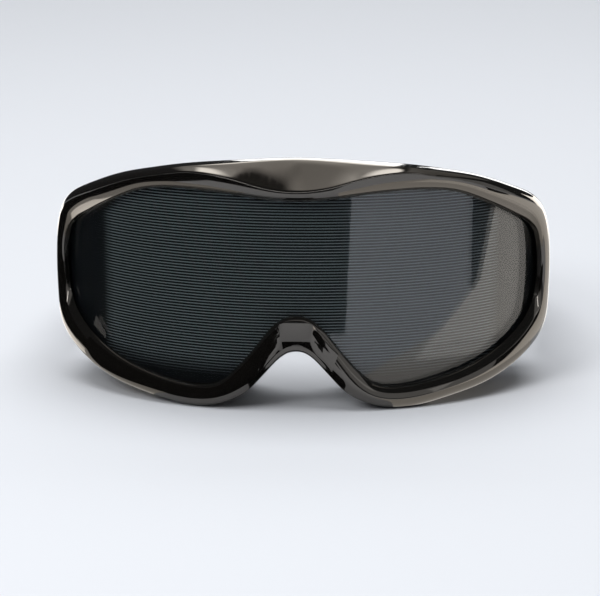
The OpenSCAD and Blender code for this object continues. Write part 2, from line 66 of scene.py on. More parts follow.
# Wrap of the lens stack about one upright line
SHIELD_RADIUS = 98 * MM
SHIELD_THICKNESS = 1.6 * MM
FILM_RADIUS = 95.7 * MM
FILM_THICKNESS = 0.6 * MM
WRAP_CENTRE_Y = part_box("outer_lens")[0].y + SHIELD_RADIUS

# Pivot line and the strap's rest angle below level
PIVOT = Vector((0, -40.0, 38.0)) * MM
DROP = math.radians(7.2324)
STRAP_WIDTH = 36 * MM


def piece_from(bm, name, body, replaced=()):
    """Turns a bmesh into an object at the origin that rides a body and stands for CAD nodes."""
    mesh = bpy.data.meshes.new(name)
    bm.to_mesh(mesh)
    bm.free()
    mesh.polygons.foreach_set("use_smooth", [True] * len(mesh.polygons))
    piece = bpy.data.objects.new(name, mesh)
    bpy.context.scene.collection.objects.link(piece)
    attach(piece, body)
    if replaced:
        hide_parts(*replaced)
    return piece


def merged_copy(node):
    """A bmesh of a CAD node's surface with its loose triangles joined at their corners."""
    reach = 0.002 * MM
    bm = bmesh.new()
    bm.from_mesh(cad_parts[node].data)
    bmesh.ops.remove_doubles(bm, verts=bm.verts, dist=reach)
    return bm


def join_quads(bm):
    """Joins the triangle pairs of a grid back to quads."""
    bmesh.ops.join_triangles(
        bm,
        faces=bm.faces[:],
        angle_face_threshold=math.pi,
        angle_shape_threshold=math.pi,
        topology_influence=2.0,
    )


def crease_corners(bm, soft_angle, sharp_angle, strongest):
    """Creases edges by how far they bend, so that subdivision keeps the corners."""
    crease = bm.edges.layers.float.get("crease_edge") or bm.edges.layers.float.new("crease_edge")
    for edge in bm.edges:
        if len(edge.link_faces) == 2:
            bend = edge.calc_face_angle(0)
            share = (bend - soft_angle) / (sharp_angle - soft_angle)
            edge[crease] = strongest * min(1, max(0, share))


def subdivide(piece, levels):
    """Adds a Subdivision Surface with equal levels in the view and the render."""
    modifier = piece.modifiers.new("Smooth surface", "SUBSURF")
    modifier.levels = levels
    modifier.render_levels = levels


def bevel(piece, width, segments=3, angle=35):
    """Rounds the corners of a machined or moulded piece."""
    modifier = piece.modifiers.new("Rounded corners", "BEVEL")
    modifier.width = width
    modifier.segments = segments
    modifier.limit_method = "ANGLE"
    modifier.angle_limit = math.radians(angle)
    modifier.harden_normals = True


def flat_sided_copy(node):
    """A merged copy of a CAD node whose flat sides are single faces, ready to bevel."""
    bm = merged_copy(node)
    bmesh.ops.dissolve_limit(
        bm,
        angle_limit=math.radians(0.5),
        use_dissolve_boundaries=False,
        verts=bm.verts,
        edges=bm.edges,
        delimit={"NORMAL"},
    )
    return bm


class Finish:
    """A node material with a Principled shader, filled in by chained calls."""

    def __init__(self, name, colour, roughness, **sockets):
        self.material = bpy.data.materials.new(name)
        self.material.use_nodes = True
        self.nodes = self.material.node_tree.nodes
        self.links = self.material.node_tree.links
        self.shader = self.nodes["Principled BSDF"]
        self.shader.inputs["Base Color"].default_value = (*colour, 1)
        self.shader.inputs["Roughness"].default_value = roughness
        for socket, value in sockets.items():
            self.shader.inputs[socket.replace("_", " ")].default_value = value
        self.coordinates = self.nodes.new("ShaderNodeTexCoord")
        self.bump_normal = None

    def place(self, source="Object", scale=(1, 1, 1), turn=(0, 0, 0)):
        """Coordinates for a pattern, stretched and turned."""
        mapping = self.nodes.new("ShaderNodeMapping")
        mapping.inputs["Scale"].default_value = scale
        mapping.inputs["Rotation"].default_value = turn
        self.links.new(self.coordinates.outputs[source], mapping.inputs["Vector"])
        return mapping.outputs["Vector"]

    def noise(self, fineness, detail=4, **where):
        """A noise pattern's value; fineness is in features a metre."""
        texture = self.nodes.new("ShaderNodeTexNoise")
        texture.inputs["Scale"].default_value = fineness
        texture.inputs["Detail"].default_value = detail
        self.links.new(self.place(**where), texture.inputs["Vector"])
        return texture.outputs["Fac"]

    def bands(self, direction, pitch, **where):
        """Straight bands along an axis; pitch is the distance from one band to the next."""
        texture = self.nodes.new("ShaderNodeTexWave")
        texture.wave_type = "BANDS"
        texture.bands_direction = direction
        texture.wave_profile = "SIN"
        texture.inputs["Scale"].default_value = 2 * math.pi / (20 * pitch)
        self.links.new(self.place(**where), texture.inputs["Vector"])
        return texture.outputs["Fac"]

    def spots(self, fineness, **where):
        """Distance to scattered cell centres, for pores and grains."""
        texture = self.nodes.new("ShaderNodeTexVoronoi")
        texture.feature = "F1"
        texture.inputs["Scale"].default_value = fineness
        self.links.new(self.place(**where), texture.inputs["Vector"])
        return texture.outputs["Distance"]

    def attribute(self, name):
        """A value stored at the mesh's own vertices."""
        node = self.nodes.new("ShaderNodeAttribute")
        node.attribute_name = name
        return node.outputs["Fac"]

    def ramp(self, value, low, high, start=0.0, end=1.0):
        """Maps a value between two positions to a range of numbers."""
        node = self.nodes.new("ShaderNodeMapRange")
        node.inputs["From Min"].default_value = low
        node.inputs["From Max"].default_value = high
        node.inputs["To Min"].default_value = start
        node.inputs["To Max"].default_value = end
        self.links.new(value, node.inputs["Value"])
        return node.outputs["Result"]

    def multiply(self, first, second):
        """Product of two values."""
        node = self.nodes.new("ShaderNodeMath")
        node.operation = "MULTIPLY"
        self.links.new(first, node.inputs[0])
        self.links.new(second, node.inputs[1])
        return node.outputs["Value"]

    def colours(self, value, first, second):
        """Runs the base colour from one colour to another with a value."""
        node = self.nodes.new("ShaderNodeMix")
        node.data_type = "RGBA"
        node.inputs["A"].default_value = (*first, 1)
        node.inputs["B"].default_value = (*second, 1)
        self.links.new(value, node.inputs["Factor"])
        self.links.new(node.outputs["Result"], self.shader.inputs["Base Color"])
        return self

    def drive(self, socket, value):
        """Links a pattern to one of the shader's inputs."""
        self.links.new(value, self.shader.inputs[socket])
        return self

    def bump(self, value, depth, strength=1.0):
        """Adds relief of a depth in metres; later calls lie on top of earlier ones."""
        node = self.nodes.new("ShaderNodeBump")
        node.inputs["Strength"].default_value = strength
        node.inputs["Distance"].default_value = depth
        self.links.new(value, node.inputs["Height"])
        if self.bump_normal:
            self.links.new(self.bump_normal, node.inputs["Normal"])
        self.bump_normal = node.outputs["Normal"]
        self.links.new(self.bump_normal, self.shader.inputs["Normal"])
        return self


def cover(target, finish):
    """Gives a piece one material in all its slots."""
    target.data.materials.clear()
    target.data.materials.append(finish.material)


def gloss_plastic(name, colour, roughness):
    """Polished moulded plastic with a faint ripple and fine handling marks."""
    finish = Finish(name, colour, roughness, IOR=2.0)
    finish.shader.inputs["Specular Tint"].default_value = (1.0, 0.94, 0.87, 1)
    wipe = finish.noise(900, detail=8, scale=(1, 0.08, 0.25), turn=(0.3, 0.2, 0.7))
    finish.drive("Roughness", finish.ramp(wipe, 0.42, 0.78, roughness, roughness + 0.09))
    finish.bump(finish.noise(170, detail=2), 0.012 * MM, 0.35)
    return finish


def satin_plastic(name, colour, roughness=0.42):
    """Moulded plastic with a spark-eroded grain and paler worn patches."""
    finish = Finish(name, colour, roughness, IOR=1.5)
    wear = finish.ramp(finish.noise(120, detail=6), 0.52, 0.75)
    finish.colours(wear, colour, tuple(c * 1.7 + 0.004 for c in colour))
    grain = finish.noise(600)
    finish.drive("Roughness", finish.ramp(grain, 0.3, 0.7, roughness - 0.08, roughness + 0.1))
    finish.bump(finish.spots(2600), 0.03 * MM, 0.5)
    return finish


def soft_rubber(name, colour, roughness=0.55):
    """Soft moulded rubber: matt, slightly dusty, with a fine pebble."""
    finish = Finish(name, colour, roughness, IOR=1.45)
    dust = finish.ramp(finish.noise(90, detail=7), 0.5, 0.8)
    finish.colours(dust, colour, tuple(c * 1.8 + 0.008 for c in colour))
    grain = finish.noise(400)
    finish.drive("Roughness", finish.ramp(grain, 0.3, 0.7, roughness - 0.1, roughness + 0.15))
    finish.bump(finish.spots(1500), 0.05 * MM, 0.6)
    return finish


def open_foam(name, colour, cell):
    """Open-cell foam with dark pores; cell is the pore spacing."""
    finish = Finish(name, colour, 0.95, Sheen_Weight=0.3, Sheen_Roughness=0.5)
    pores = finish.ramp(finish.spots(1 / cell), 0.15, 0.6)
    finish.colours(pores, tuple(c * 0.35 for c in colour), colour)
    finish.bump(pores, 0.25 * MM, 0.8)
    finish.bump(finish.noise(260, detail=3), 0.3 * MM, 0.4)
    return finish


def elastic_webbing(name, colour, pitch):
    """Woven elastic read along the strap's own length and width."""
    finish = Finish(name, colour, 0.8, Sheen_Weight=0.35, Sheen_Roughness=0.4)
    picks = finish.bands("X", pitch, source="UV")
    ends = finish.bands("Y", pitch * 1.6, source="UV")
    weave = finish.multiply(picks, ends)
    finish.colours(weave, tuple(c * 0.4 for c in colour), tuple(c * 1.5 + 0.006 for c in colour))
    finish.bump(weave, 0.12 * MM, 0.9)
    finish.bump(finish.noise(2500, detail=2, source="UV"), 0.05 * MM, 0.6)
    return finish


def turned_steel(name, colour):
    """Bright steel with turning marks round the pivot line."""
    finish = Finish(name, colour, 0.28, Metallic=1.0)
    marks = finish.noise(700, detail=3, scale=(6, 1, 1))
    finish.drive("Roughness", finish.ramp(marks, 0.3, 0.7, 0.2, 0.38))
    finish.bump(marks, 0.01 * MM, 0.5)
    return finish


class GogglesSettings(bpy.types.PropertyGroup):
    """Sizes and colours of the goggles that a user would change."""

    frame_colour: bpy.props.FloatVectorProperty(
        name="Frame colour",
        description="Colour of the gloss frame and its lugs",
        subtype="COLOR",
        default=(0.005, 0.0045, 0.004),
    )
    frame_roughness: bpy.props.FloatProperty(
        name="Frame roughness",
        description="Roughness of the polished frame",
        subtype="FACTOR",
        default=0.05,
    )
    shield_alpha: bpy.props.FloatProperty(
        name="Shield density",
        description="How much light one face of the tinted shield stops",
        subtype="FACTOR",
        default=0.30,
    )
    rib_pitch: bpy.props.FloatProperty(
        name="Rib pitch",
        description="Distance between the prism film's ribs",
        subtype="DISTANCE",
        unit="LENGTH",
        default=1.0 * MM,
    )
    rib_height: bpy.props.FloatProperty(
        name="Rib height",
        description="Height of the prism film's ribs",
        subtype="DISTANCE",
        unit="LENGTH",
        default=0.35 * MM,
    )
    rib_half_angle: bpy.props.FloatProperty(
        name="Ribbed half angle",
        description="Half of the ribbed sector, seen from the wrap's centre",
        subtype="ANGLE",
        unit="ROTATION",
        default=math.radians(46),
    )
    # Painted light: the colour of the film's rib peaks; its valleys and unribbed ends are painted
    # near black as painted shade.
    film_colour: bpy.props.FloatVectorProperty(
        name="Film colour",
        description="Colour of the lit side of a rib",
        subtype="COLOR",
        default=(0.46, 0.56, 0.59),
    )
    foam_colour: bpy.props.FloatVectorProperty(
        name="Foam colour",
        description="Colour of the face pad",
        subtype="COLOR",
        default=(0.045, 0.043, 0.042),
    )
    skirt_colour: bpy.props.FloatVectorProperty(
        name="Skirt colour",
        description="Colour of the soft skirt and the gasket",
        subtype="COLOR",
        default=(0.018, 0.018, 0.019),
    )
    strap_colour: bpy.props.FloatVectorProperty(
        name="Strap colour",
        description="Colour of the elastic webbing",
        subtype="COLOR",
        default=(0.018, 0.018, 0.02),
    )
    floor_colour: bpy.props.FloatVectorProperty(
        name="Floor colour",
        description="Colour of the floor and backdrop",
        subtype="COLOR",
        default=(0.72, 0.74, 0.78),
    )


def camera_back():
    """Direction from the goggles to the camera."""
    return Vector(
        (
            math.sin(CAMERA_AZIMUTH) * math.cos(CAMERA_ELEVATION),
            -math.cos(CAMERA_AZIMUTH) * math.cos(CAMERA_ELEVATION),
            math.sin(CAMERA_ELEVATION),
        )
    )


def place_camera():
    """Stands the camera where the photograph was taken from."""
    data = bpy.data.cameras.new("photo_camera")
    data.lens = CAMERA_LENS
    data.sensor_width = SENSOR
    data.clip_start = 0.01
    data.clip_end = 20
    camera = bpy.data.objects.new("photo_camera", data)
    bpy.context.scene.collection.objects.link(camera)
    camera.location = AIM + camera_back() * CAMERA_DISTANCE
    camera.rotation_mode = "QUATERNION"
    camera.rotation_quaternion = (-camera_back()).to_track_quat("-Z", "Y")
    bpy.context.scene.camera = camera


def soft_lamp(name, place, aim, width, height, brightness, in_gloss=True, in_diffuse=True):
    """A soft rectangular lamp that the camera doesn't see; brightness is its radiance."""
    data = bpy.data.lights.new(name, "AREA")
    data.shape = "RECTANGLE"
    data.size = width
    data.size_y = height
    data.energy = 4 * width * height * brightness
    lamp = bpy.data.objects.new(name, data)
    bpy.context.scene.collection.objects.link(lamp)
    lamp.location = place
    lamp.rotation_mode = "QUATERNION"
    lamp.rotation_quaternion = (Vector(aim) - Vector(place)).to_track_quat("-Z", "Y")
    lamp.visible_camera = False
    lamp.visible_glossy = in_gloss
    lamp.visible_diffuse = in_diffuse


def mirrored_spot(turn, distance):
    """Floor point that the camera sees mirrored in the shield, at an angle round its wrap."""
    out = Vector((math.sin(turn), -math.cos(turn), 0))
    spot = Vector((0, WRAP_CENTRE_Y, 0)) + out * SHIELD_RADIUS
    to_camera = AIM + camera_back() * CAMERA_DISTANCE - spot
    to_camera.z = 0
    way = 2 * out * out.dot(to_camera) - to_camera
    return spot + way.normalized() * distance


def soft_step(value, width):
    """Rises from 0 to 1 as a value goes from 0 to a width."""
    return min(1, max(0, value / width))


def gloss_card(name, grid, glow=0.0, **shading):
    """A studio card that only gloss shows; functions of x and y may shade its glow and cover."""
    bm = bmesh.new()
    lines = [[bm.verts.new(point) for point in row] for row in grid]
    for lower, upper in zip(lines, lines[1:]):
        for i in range(len(lower) - 1):
            bm.faces.new((lower[i], lower[i + 1], upper[i + 1], upper[i]))
    for layer, level in shading.items():
        share = bm.verts.layers.float.new(layer)
        for vert in bm.verts:
            vert[share] = level(vert.co.x, vert.co.y)
    mesh = bpy.data.meshes.new(name)
    bm.to_mesh(mesh)
    bm.free()
    card = bpy.data.objects.new(name, mesh)
    bpy.context.scene.collection.objects.link(card)
    finish = Finish(name, (0.003, 0.003, 0.003), 1.0, Specular_IOR_Level=0.0)
    finish.shader.inputs["Emission Color"].default_value = (1.0, 0.95, 0.88, 1)
    finish.shader.inputs["Emission Strength"].default_value = glow
    for layer, socket in (("card_glow", "Emission Strength"), ("card_cover", "Alpha")):
        if layer in shading:
            finish.drive(socket, finish.attribute(layer))
    cover(card, finish)
    card.visible_camera = False
    card.visible_diffuse = False
    card.visible_shadow = False
    card.visible_transmission = False


def mirrored_card(name, rows, glow=0.0):
    """A card that the shield mirrors; each row gives distance, height, first and last angle."""
    steps = 24
    grid = []
    for distance, height, first, last in rows:
        line = []
        for i in range(steps + 1):
            spot = mirrored_spot(math.radians(first + (last - first) * i / steps), distance * MM)
            line.append((spot.x, spot.y, height * MM))
        grid.append(line)
    gloss_card(name, grid, glow)


def floor_card(name, rows, glow=0.0, height=0.5):
    """A level card just above the floor; each row gives y, first x and last x in millimetres."""
    grid = [[(x * MM, y * MM, height * MM) for x in (first, last)] for y, first, last in rows]
    gloss_card(name, grid, glow)


def standing_card(name, x, y_range, height, glow):
    """An upright card beside the goggles, square to x; sizes are in millimetres."""
    grid = [[(x * MM, y * MM, z * MM) for y in y_range] for z in (1, height)]
    gloss_card(name, grid, glow)


def scrim_glow(x, y):
    """Glow of the overhead scrim: grey with a dark strip, bright at its back, dim on the right."""
    middle = 0.6 + 0.4 * soft_step(x + 0.35, 0.25)
    back = 2.4 * soft_step(y - 1.4, 0.35) * soft_step(0.3 - abs(x + 0.07), 0.1)
    strip_edge = -0.05 + 0.14 * (y - 0.3)
    ends = soft_step(strip_edge + 0.03 - x, 0.06) * soft_step(x + 0.75, 0.2)
    right = 0.28 * soft_step(x - 0.25, 0.1)
    dark = 0.04
    return max(dark, (middle + back) * ends, right)


def brow_card_glow(x, y):
    """Glow of the small card close over the brow: brighter towards its back."""
    return 0.75 + 0.6 * soft_step(y + 100 * MM, 12 * MM)


def brow_card_cover(x, y):
    """Cover of that card, which fades out on its left, right and back."""
    sides = soft_step(x + 4 * MM, 5 * MM) * soft_step(18 * MM - x, 6 * MM)
    return sides * soft_step(-78 * MM - y, 10 * MM)


def scrim(name, low, high, height, step, **shading):
    """A level diffuser over the goggles, seen only by the gloss."""
    columns = round((high[0] - low[0]) / step)
    rows = round((high[1] - low[1]) / step)
    grid = []
    for j in range(rows + 1):
        grid.append([(low[0] + i * step, low[1] + j * step, height) for i in range(columns + 1)])
    gloss_card(name, grid, **shading)


class GOGGLES_OT_stage(bpy.types.Operator):
    """Sets the camera, the pale floor and backdrop, and the soft studio light"""

    bl_idname = "goggles.stage"
    bl_label = "Stage"

    def execute(self, context):
        settings = context.scene.goggles
        place_camera()
        context.scene.view_settings.view_transform = "Standard"
        self.make_floor(settings)
        self.make_air(context, settings)
        self.hang_lamps()
        self.hang_scrims()
        self.lay_floor_cards()
        self.stand_cards()
        return {"FINISHED"}

    def make_floor(self, settings):
        """A wide level floor just under the goggles."""
        reach = 4.0
        drop = 0.3 * MM
        bm = bmesh.new()
        bmesh.ops.create_grid(bm, x_segments=1, y_segments=1, size=reach)
        bmesh.ops.translate(bm, verts=bm.verts, vec=(0, 0, -drop))
        mesh = bpy.data.meshes.new("studio_floor")
        bm.to_mesh(mesh)
        bm.free()
        floor = bpy.data.objects.new("studio_floor", mesh)
        bpy.context.scene.collection.objects.link(floor)
        finish = Finish("matt_floor", tuple(settings.floor_colour), 0.9, Specular_IOR_Level=0.0)
        finish.bump(finish.noise(220, detail=3), 0.05 * MM, 0.15)
        cover(floor, finish)

    def make_air(self, context, settings):
        """Dim air, near black in the gloss, that the camera sees in the floor's colour."""
        world = bpy.data.worlds.new("studio_air")
        world.use_nodes = True
        nodes = world.node_tree.nodes
        links = world.node_tree.links
        air = nodes["Background"]
        air.inputs["Color"].default_value = (0.9, 0.95, 1.0, 1)
        air.inputs["Strength"].default_value = 0.12
        backdrop = nodes.new("ShaderNodeBackground")
        backdrop.inputs["Color"].default_value = (*settings.floor_colour, 1)
        dark = nodes.new("ShaderNodeBackground")
        dark.inputs["Color"].default_value = air.inputs["Color"].default_value
        dark.inputs["Strength"].default_value = 0.03
        path = nodes.new("ShaderNodeLightPath")
        mirrored = nodes.new("ShaderNodeMixShader")
        links.new(path.outputs["Is Glossy Ray"], mirrored.inputs["Fac"])
        links.new(air.outputs["Background"], mirrored.inputs[1])
        links.new(dark.outputs["Background"], mirrored.inputs[2])
        seen = nodes.new("ShaderNodeMixShader")
        links.new(path.outputs["Is Camera Ray"], seen.inputs["Fac"])
        links.new(mirrored.outputs["Shader"], seen.inputs[1])
        links.new(backdrop.outputs["Background"], seen.inputs[2])
        links.new(seen.outputs["Shader"], nodes["World Output"].inputs["Surface"])
        context.scene.world = world

    def hang_lamps(self):
        """Fills that light the shapes, and screens that only the gloss shows; metres."""
        lens = (0, -0.1, 0.04)
        soft_lamp("top_fill", (0, 0, 2.0), (0, 0, 0), 2.0, 2.0, 2.5, in_gloss=False)
        soft_lamp("far_fill", (0, 2.6, 2.0), (0, 2.6, 0), 4.0, 2.0, 1.3, in_gloss=False)
        soft_lamp("front_fill", (-0.7, -1.0, 0.9), lens, 0.7, 0.7, 4.0, in_gloss=False)
        rear, rear_aim = (-0.07, 2.6, 1.2), (-0.07, 0, 1.2)
        soft_lamp("rear_screen", rear, rear_aim, 0.4, 1.6, 3.0, in_diffuse=False)
        rear_right, rear_right_aim = (0.6, 2.6, 0.5), (0.6, 0, 0.5)
        soft_lamp("rear_right_screen", rear_right, rear_right_aim, 0.7, 0.5, 3.0, in_diffuse=False)
        soft_lamp("side_screen", (1.0, -0.35, 0.3), lens, 1.0, 0.6, 0.35, in_diffuse=False)
        soft_lamp("front_screen", (0.3, -1.8, 0.8), lens, 3.6, 1.3, 0.36, in_diffuse=False)
        soft_lamp("front_strip", (0, -1.3, 0.6), lens, 1.6, 0.06, 6.0, in_diffuse=False)

    def hang_scrims(self):
        """Two diffusers over the brow, which its scoop mirrors; metres."""
        scrim("overhead_scrim", (-0.75, 0.05), (1.6, 2.3), 1.5, 0.025, card_glow=scrim_glow)
        near = {"card_glow": brow_card_glow, "card_cover": brow_card_cover}
        scrim("brow_card", (-0.008, -0.12), (0.02, -0.076), 0.11, 0.001, **near)

    def lay_floor_cards(self):
        """Dark flags and glowing cards that the frame's rim and saddle mirror; millimetres."""
        floor_card("nose_flag", [(-136, -13, 13), (-116, -13, 13)])
        left_dark = [(-450, -900, -115), (-200, -900, -105), (-150, -900, -95), (0, -900, -95)]
        floor_card("left_floor_flag", left_dark)
        left_band = [(-130, -96, -50), (-105, -118, -50), (-85, -142, -50), (-60, -180, -60)]
        floor_card("left_floor_card", left_band, glow=0.75, height=1.0)
        left_rear = [(-75, -125, -92), (-55, -150, -95), (-20, -165, -100), (20, -150, -105)]
        floor_card("left_rear_card", left_rear, glow=2.6, height=1.5)
        right_band = [(-162, 70, 110), (-150, 40, 160), (-100, 30, 180), (-60, 50, 220)]
        floor_card("right_floor_card", right_band, glow=1.0)
        floor_card("left_wall_card", [(200, -600, -200), (700, -600, -200)], glow=4.0)

    def stand_cards(self):
        """Cards beside the goggles for the frame's side, and round the shield; millimetres."""
        standing_card("right_side_card", 105, (-40, 10), 75, glow=3.0)
        standing_card("right_far_card", 300, (40, 460), 140, glow=5.0)

        mirrored_card("left_flag", [(85, 6, -62, 9.7), (85, 60, -62, 10.8)])
        mirrored_card("low_flag", [(12, 0, -44, -4.5), (12, 24, -44, -4.5)])
        gap = [(85, 20, 37.1, 37.8), (85, 24, 37.1, 39.5), (85, 50, 37.1, 43), (85, 60, 37.1, 43.8)]
        mirrored_card("gap_flag", gap)
        warm_edge = [(60, 0.5, 24), (86, 0.5, 27), (86, 9, 31.8), (86, 16, 35.6)]
        warm_edge += [(86, 24, 39.5), (86, 50, 43), (86, 60, 43.8)]
        mirrored_card("warm_card", [(*place, 62) for place in warm_edge], glow=1.8)


class GOGGLES_OT_front_frame(bpy.types.Operator):
    """Builds the one-piece gloss frame and the saddle over its nose arch"""

    bl_idname = "goggles.front_frame"
    bl_label = "Front frame"

    def execute(self, context):
        settings = context.scene.goggles
        colour = tuple(settings.frame_colour)
        bm = merged_copy("front_frame")
        join_quads(bm)
        crease_corners(bm, math.radians(24), math.radians(75), 0.75)
        shell = piece_from(bm, "frame_shell", "goggle", ["front_frame"])
        subdivide(shell, 2)
        cover(shell, gloss_plastic("frame_gloss_black", colour, settings.frame_roughness))

        saddle = piece_from(
            flat_sided_copy("nose_bridge"), "nose_saddle", "goggle", ["nose_bridge"]
        )
        bevel(saddle, 0.35 * MM, angle=25)
        cover(saddle, gloss_plastic("saddle_gloss_black", colour, settings.frame_roughness))
        return {"FINISHED"}


def shield_blank():
    """The lens's outline as one flat face in x and z, read from the CAD shield's front."""
    bm = merged_copy("outer_lens")
    centre = Vector((0, WRAP_CENTRE_Y, 0))
    others = []
    for face in bm.faces:
        out = face.calc_center_median() - centre
        out.z = 0
        if face.normal.dot(out.normalized()) < 0.9:
            others.append(face)
    bmesh.ops.delete(bm, geom=others, context="FACES")
    for vert in bm.verts:
        vert.co.y = 0
    bmesh.ops.dissolve_faces(bm, faces=bm.faces, use_verts=False)
    return bm


def cut_across(bm, direction, places):
    """Cuts the flat blank along straight lines square to a direction."""
    for place in places:
        bmesh.ops.bisect_plane(
            bm,
            geom=bm.verts[:] + bm.edges[:] + bm.faces[:],
            dist=1e-7,
            plane_co=direction * place,
            plane_no=direction,
        )


def steps_between(low, high, step):
    """Evenly spaced places strictly inside a range."""
    return [low + step * i for i in range(1, int((high - low) / step - 1e-6) + 1)]


def wrap_round(bm, radius, height=None):
    """Bends the flat blank round the wrap's centre, with an added height where one is given."""
    for vert in bm.verts:
        reach = radius
        if height:
            reach += height(vert.co.x, vert.co.z)
        vert.co.y = WRAP_CENTRE_Y - math.sqrt(reach * reach - vert.co.x * vert.co.x)


def face_forwards(bm):
    """Turns a sheet's faces towards the front before it is thickened."""
    bm.normal_update()
    middle = min(bm.faces, key=lambda face: abs(face.calc_center_median().x))
    if middle.normal.y > 0:
        bmesh.ops.reverse_faces(bm, faces=bm.faces)


class GOGGLES_OT_lens_stack(bpy.types.Operator):
    """Builds the tinted shield, the ribbed prism film behind it and their gasket"""

    bl_idname = "goggles.lens_stack"
    bl_label = "Lens stack"

    column_width = 2 * MM
    row_height = 6 * MM
    ribs_low = 10 * MM
    ribs_high = 74 * MM

    def execute(self, context):
        settings = context.scene.goggles
        low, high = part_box("outer_lens")
        columns = steps_between(low.x, high.x, self.column_width)

        bm = shield_blank()
        cut_across(bm, Vector((1, 0, 0)), columns)
        cut_across(bm, Vector((0, 0, 1)), steps_between(low.z, high.z, self.row_height))
        wrap_round(bm, SHIELD_RADIUS)
        face_forwards(bm)
        bmesh.ops.solidify(bm, geom=bm.faces[:], thickness=SHIELD_THICKNESS)
        bmesh.ops.recalc_face_normals(bm, faces=bm.faces)
        shield = piece_from(bm, "tinted_shield", "goggle", ["outer_lens"])
        shield.data.set_sharp_from_angle(angle=math.radians(40))
        cover(shield, self.shield_finish(settings))

        pitch = settings.rib_pitch
        ribs = int((self.ribs_high - self.ribs_low) / pitch)

        def rib(x, z):
            """Height of the film's front over its flat parts."""
            phase = ((z - self.ribs_low) / pitch) % 1
            return settings.rib_height * (1 - abs(2 * phase - 1)) * self.ribbed(settings, x, z)

        bm = shield_blank()
        cut_across(bm, Vector((1, 0, 0)), columns)
        edges = [self.ribs_low + pitch / 2 * i for i in range(2 * ribs + 1)]
        cut_across(bm, Vector((0, 0, 1)), edges)
        wrap_round(bm, FILM_RADIUS, rib)
        face_forwards(bm)
        bmesh.ops.solidify(bm, geom=bm.faces[:], thickness=FILM_THICKNESS)
        bmesh.ops.recalc_face_normals(bm, faces=bm.faces)
        # This attribute also darkens the film's colour where it is less ribbed: painted shade on
        # its flat ends, top corners and low edge.
        share = bm.verts.layers.float.new("ribbed")
        for vert in bm.verts:
            vert[share] = self.ribbed(settings, vert.co.x, vert.co.z)
        film = piece_from(bm, "ribbed_film", "goggle", ["prism_film"])
        film.data.set_sharp_from_angle(angle=math.radians(30))
        cover(film, self.film_finish(settings))

        bm = merged_copy("lens_gasket")
        gasket = piece_from(bm, "gasket_strip", "goggle", ["lens_gasket"])
        gasket.data.set_sharp_from_angle(angle=math.radians(40))
        cover(gasket, soft_rubber("gasket_rubber", tuple(settings.skirt_colour)))
        return {"FINISHED"}

    def ribbed(self, settings, x, z):
        """How fully the film is ribbed at a place: less at its ends, top corners and low edge."""
        corner_start, corner_slant = 62 * MM, 0.9
        side_fade, low_fade = 3 * MM, 7 * MM
        sector = FILM_RADIUS * math.sin(settings.rib_half_angle)
        corner = corner_slant * max(0, z - corner_start)
        side = soft_step(sector - abs(x) - corner, side_fade)
        return side * soft_step(z - self.ribs_low, low_fade)

    def shield_finish(self, settings):
        """Smoke-grey sheet that stops part of the light at each face."""
        finish = Finish("smoke_shield", (0.010, 0.012, 0.014), 0.03, IOR=2.2)
        finish.shader.inputs["Alpha"].default_value = settings.shield_alpha
        smear = finish.noise(60, detail=5, scale=(1, 1, 0.4))
        finish.drive("Roughness", finish.ramp(smear, 0.4, 0.8, 0.015, 0.07))
        return finish

    def film_finish(self, settings):
        """Grey-blue film with painted light along its rib peaks and painted shade in their valleys
        and on its unribbed ends.
        """
        colour = tuple(settings.film_colour)
        finish = Finish("prism_film_ribs", colour, 0.3, IOR=1.45, Specular_IOR_Level=0.25)
        # Painted stripes at the rib pitch: painted light near each peak, painted shade in each
        # valley.
        ribs = finish.ramp(finish.bands("Z", settings.rib_pitch), 0.6, 0.95)
        painted_rib_light_and_shade = finish.multiply(ribs, finish.attribute("ribbed"))
        # The colour runs from near black (painted shade in the valleys and where the film is not
        # ribbed) to the film colour (painted light at the peaks).
        finish.colours(painted_rib_light_and_shade, tuple(c * 0.015 for c in colour), colour)
        return finish


class GOGGLES_OT_face_seal(bpy.types.Operator):
    """Builds the soft skirt, the crowned face pad, the vent covers and their filters"""

    bl_idname = "goggles.face_seal"
    bl_label = "Face seal"

    def execute(self, context):
        settings = context.scene.goggles
        rubber = soft_rubber("skirt_rubber", tuple(settings.skirt_colour))
        bm = merged_copy("face_skirt")
        skirt = piece_from(bm, "soft_skirt", "goggle", ["face_skirt"])
        skirt.data.set_sharp_from_angle(angle=math.radians(32))
        cover(skirt, rubber)

        bm = merged_copy("face_foam")
        join_quads(bm)
        pad = piece_from(bm, "face_pad", "goggle", ["face_foam"])
        subdivide(pad, 2)
        cover(pad, open_foam("pad_foam", tuple(settings.foam_colour), 0.8 * MM))

        vent_finish = satin_plastic("vent_plastic", (0.018, 0.018, 0.019))
        filter_finish = open_foam("filter_foam", (0.05, 0.05, 0.052), 0.5 * MM)
        for side in SIDES:
            for place in ("brow", "chin"):
                node = f"{place}_vent_{side}"
                cover(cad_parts[node], vent_finish)
                node = f"{place}_filter_{side}"
                bm = merged_copy(node)
                name = f"{place}_filter_pad_{side}"
                strip = piece_from(bm, name, "goggle", [node])
                strip.data.set_sharp_from_angle(angle=math.radians(40))
                cover(strip, filter_finish)
        return {"FINISHED"}


